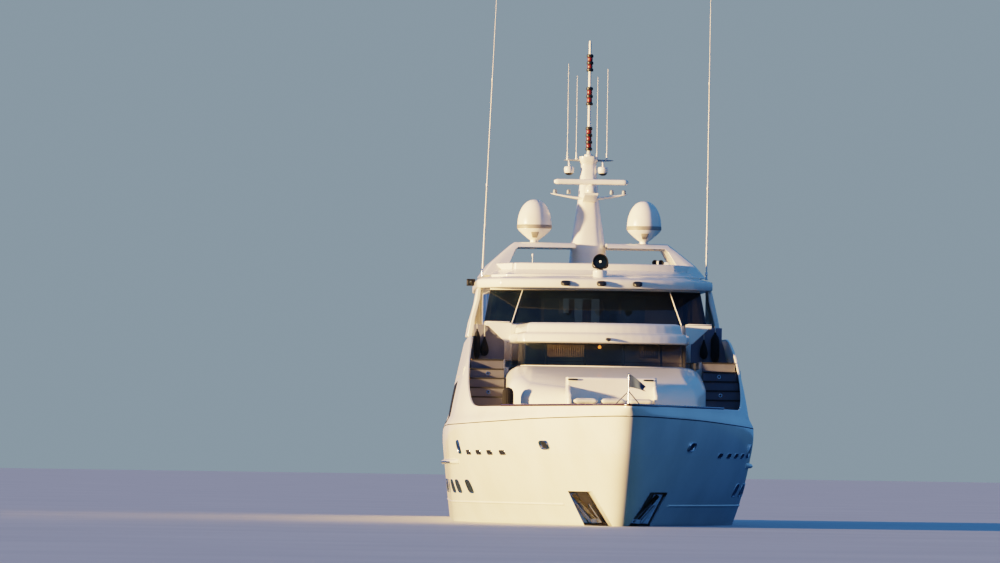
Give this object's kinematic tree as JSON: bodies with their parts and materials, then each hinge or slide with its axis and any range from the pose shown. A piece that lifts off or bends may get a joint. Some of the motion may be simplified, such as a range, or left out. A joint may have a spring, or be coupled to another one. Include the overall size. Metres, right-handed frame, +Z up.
{
  "type": "motor yacht",
  "caption": "Raised-wheelhouse motor yacht afloat: flared hull, stepped deckhouses, radar arch and mast, screws, rudders, sliding doors, gates and hatches.",
  "frame": {"origin": "amidships on the centreline, at the waterline", "axes": "+Z up, -Y towards the bow, +X to port"},
  "size_m": [8.078, 36.9699, 16.618],
  "materials": {
    "gelcoat": "glossy white gelcoat",
    "tinted_glass": "dark tinted",
    "deck_paint": "satin non-slip",
    "cushion_vinyl": "matt marine vinyl",
    "mast_paint": "gloss paint",
    "dome_plastic": "satin",
    "black_plastic": "matt",
    "varnished_teak": "varnished",
    "teak_deck": "scrubbed planks",
    "stainless": "polished stainless",
    "aerial_glassfibre": "satin",
    "canvas": "woven cover",
    "seat_leather": "satin",
    "bronze": "cast and machined",
    "antifouling": "matt antifouling"
  },
  "bodies": {
    "root": {"hull": "gelcoat", "topside_port": "gelcoat", "topside_starboard": "gelcoat", "saloon_glass_port": "tinted_glass", "saloon_glass_starboard": "tinted_glass", "stairs_port": "deck_paint", "stairs_starboard": "deck_paint", "foredeck_trunk": "gelcoat", "foredeck_settee": "gelcoat", "settee_cushion": "cushion_vinyl", "upper_deck": "deck_paint", "forward_room": "gelcoat", "forward_room_glass": "tinted_glass", "visor_roof": "gelcoat", "wheelhouse": "gelcoat", "wheelhouse_glass": "tinted_glass", "roof": "gelcoat", "arch": "gelcoat", "mast": "gelcoat", "mast_pole": "mast_paint", "aft_bulkhead": "gelcoat", "jackstaff": "stainless", "windlass": "stainless", "helm_console": "black_plastic", "flybridge_settee": "cushion_vinyl", "aft_rail": "stainless", "swim_platform": "teak_deck", "wing_port": "gelcoat", "wing_starboard": "gelcoat", "dome_port": "dome_plastic", "dome_starboard": "dome_plastic", "whip_port": "aerial_glassfibre", "whip_starboard": "aerial_glassfibre", "anchor_port": "stainless", "anchor_starboard": "stainless", "capstan_port": "stainless", "capstan_starboard": "canvas", "helm_seat_port": "seat_leather", "helm_seat_starboard": "seat_leather", "shaft_port": "bronze", "shaft_starboard": "bronze"},
    "screw_port": {"propeller_port": "bronze"},
    "screw_starboard": {"propeller_starboard": "bronze"},
    "rudder_port_body": {"rudder_port": "antifouling"},
    "rudder_starboard_body": {"rudder_starboard": "antifouling"},
    "radar": {"radar_array": "dome_plastic"},
    "lamp": {"searchlight": "black_plastic"},
    "hatch": {"hatch_lid": "gelcoat"},
    "garage": {"garage_door": "gelcoat"},
    "saloon_leaf_port": {"saloon_door_port": "tinted_glass"},
    "saloon_leaf_starboard": {"saloon_door_starboard": "tinted_glass"},
    "house_door_port": {"wheelhouse_door_port": "gelcoat"},
    "house_door_starboard": {"wheelhouse_door_starboard": "gelcoat"},
    "gate_port": {"side_gate_port": "gelcoat"},
    "gate_starboard": {"side_gate_starboard": "gelcoat"},
    "deck_leaf_port": {"deck_gate_port": "gelcoat"},
    "deck_leaf_starboard": {"deck_gate_starboard": "gelcoat"}
  },
  "joints": [
    {"name": "screw_port_spin", "type": "hinge", "parent": "root", "child": "screw_port", "pos_m": [1.6, 12.4683, -1.58438], "axis": [0, 0.9868, -0.1622], "continuous": true},
    {"name": "screw_starboard_spin", "type": "hinge", "parent": "root", "child": "screw_starboard", "pos_m": [-1.6, 12.4683, -1.58438], "axis": [0, 0.9868, -0.1622], "continuous": true},
    {"name": "rudder_port_turn", "type": "hinge", "parent": "root", "child": "rudder_port_body", "pos_m": [1.6, 13.8, -1.5], "axis": [0, 0, 1], "range_deg": [-35, 35]},
    {"name": "rudder_starboard_turn", "type": "hinge", "parent": "root", "child": "rudder_starboard_body", "pos_m": [-1.6, 13.8, -1.5], "axis": [0, 0, 1], "range_deg": [-35, 35]},
    {"name": "radar_spin", "type": "hinge", "parent": "root", "child": "radar", "pos_m": [0, 1.2, 9.09], "axis": [0, 0, 1], "continuous": true},
    {"name": "searchlight_pan", "type": "hinge", "parent": "root", "child": "lamp", "pos_m": [0.06, -2.78, 6.7], "axis": [0, 0, 1], "range_deg": [-170, 170]},
    {"name": "hatch_hinge", "type": "hinge", "parent": "root", "child": "hatch", "pos_m": [0, -14.23, 1.9203], "axis": [1, 0, 0], "range_deg": [0, 80]},
    {"name": "garage_hinge", "type": "hinge", "parent": "root", "child": "garage", "pos_m": [0, 15.7, 1.6497], "axis": [1, 0, 0], "range_deg": [0, 80]},
    {"name": "saloon_slide_port", "type": "slide", "parent": "root", "child": "saloon_leaf_port", "axis": [1, 0, 0], "range_m": [0, 0.85]},
    {"name": "saloon_slide_starboard", "type": "slide", "parent": "root", "child": "saloon_leaf_starboard", "axis": [-1, 0, 0], "range_m": [0, 0.85]},
    {"name": "wheelhouse_slide_port", "type": "slide", "parent": "root", "child": "house_door_port", "axis": [0, 1, 0], "range_m": [0, 0.68]},
    {"name": "wheelhouse_slide_starboard", "type": "slide", "parent": "root", "child": "house_door_starboard", "axis": [0, 1, 0], "range_m": [0, 0.68]},
    {"name": "gate_port_hinge", "type": "hinge", "parent": "root", "child": "gate_port", "pos_m": [3.32, 12.9003, 2.3], "axis": [0, 0, 1], "range_deg": [0, 90]},
    {"name": "gate_starboard_hinge", "type": "hinge", "parent": "root", "child": "gate_starboard", "pos_m": [-3.32, 12.9003, 2.3], "axis": [0, 0, -1], "range_deg": [0, 90]},
    {"name": "deck_gate_port_hinge", "type": "hinge", "parent": "root", "child": "deck_leaf_port", "pos_m": [3.275, -3.2275, 4.7], "axis": [0, 0, -1], "range_deg": [0, 80]},
    {"name": "deck_gate_starboard_hinge", "type": "hinge", "parent": "root", "child": "deck_leaf_starboard", "pos_m": [-3.275, -3.2275, 4.7], "axis": [0, 0, 1], "range_deg": [0, 80]}
  ],
  "couplings": [
    {"joint": "rudder_starboard_turn", "follows": "rudder_port_turn", "ratio": 1},
    {"joint": "saloon_slide_starboard", "follows": "saloon_slide_port", "ratio": 1}
  ]
}
